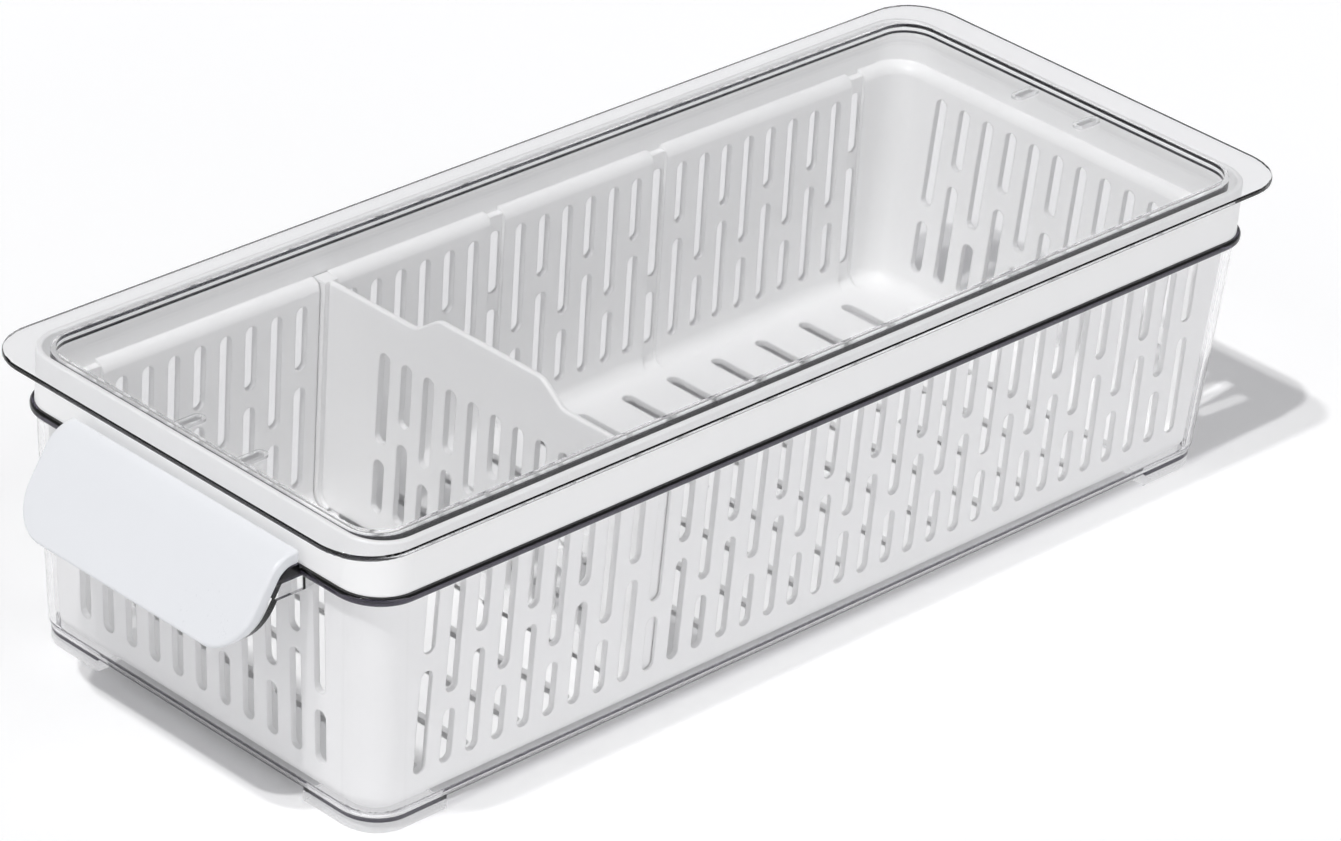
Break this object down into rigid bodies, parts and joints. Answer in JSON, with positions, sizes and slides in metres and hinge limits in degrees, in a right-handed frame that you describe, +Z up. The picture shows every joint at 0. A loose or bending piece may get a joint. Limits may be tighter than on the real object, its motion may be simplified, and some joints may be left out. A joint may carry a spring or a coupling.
{
  "type": "produce storage container",
  "caption": "Long clear bin with a front grip and a slotted hanging basket inside, split by a lift-out divider and closed by a clear vented lid.",
  "frame": {"origin": "middle of the whole footprint, on the surface that the feet stand on", "axes": "+Z up, -Y towards the grip at the front, X across the container"},
  "size_m": [0.1524, 0.3853, 0.093],
  "materials": {
    "clear_plastic": "clear, polished",
    "grip_white": "opaque white, satin gloss",
    "basket_white": "opaque white, fine satin"
  },
  "bodies": {
    "bin": {"outer_bin": "clear_plastic", "handle_cover": "grip_white"},
    "basket": {"storage_basket": "basket_white"},
    "divider": {"divider": "basket_white"},
    "lid": {"lid": "clear_plastic"}
  },
  "joints": [
    {"name": "basket_lift", "type": "slide", "parent": "bin", "child": "basket", "axis": [0, 0, 1], "range_m": [0, 0.1]},
    {"name": "lid_lift", "type": "slide", "parent": "basket", "child": "lid", "axis": [0, 0, 1], "range_m": [0, 0.2]},
    {"name": "divider_lift", "type": "slide", "parent": "basket", "child": "divider", "axis": [0, 0, 1], "range_m": [0, 0.1]}
  ],
  "couplings": [
    {"joint": "divider_lift", "follows": "lid_lift", "ratio": 0.5}
  ]
}
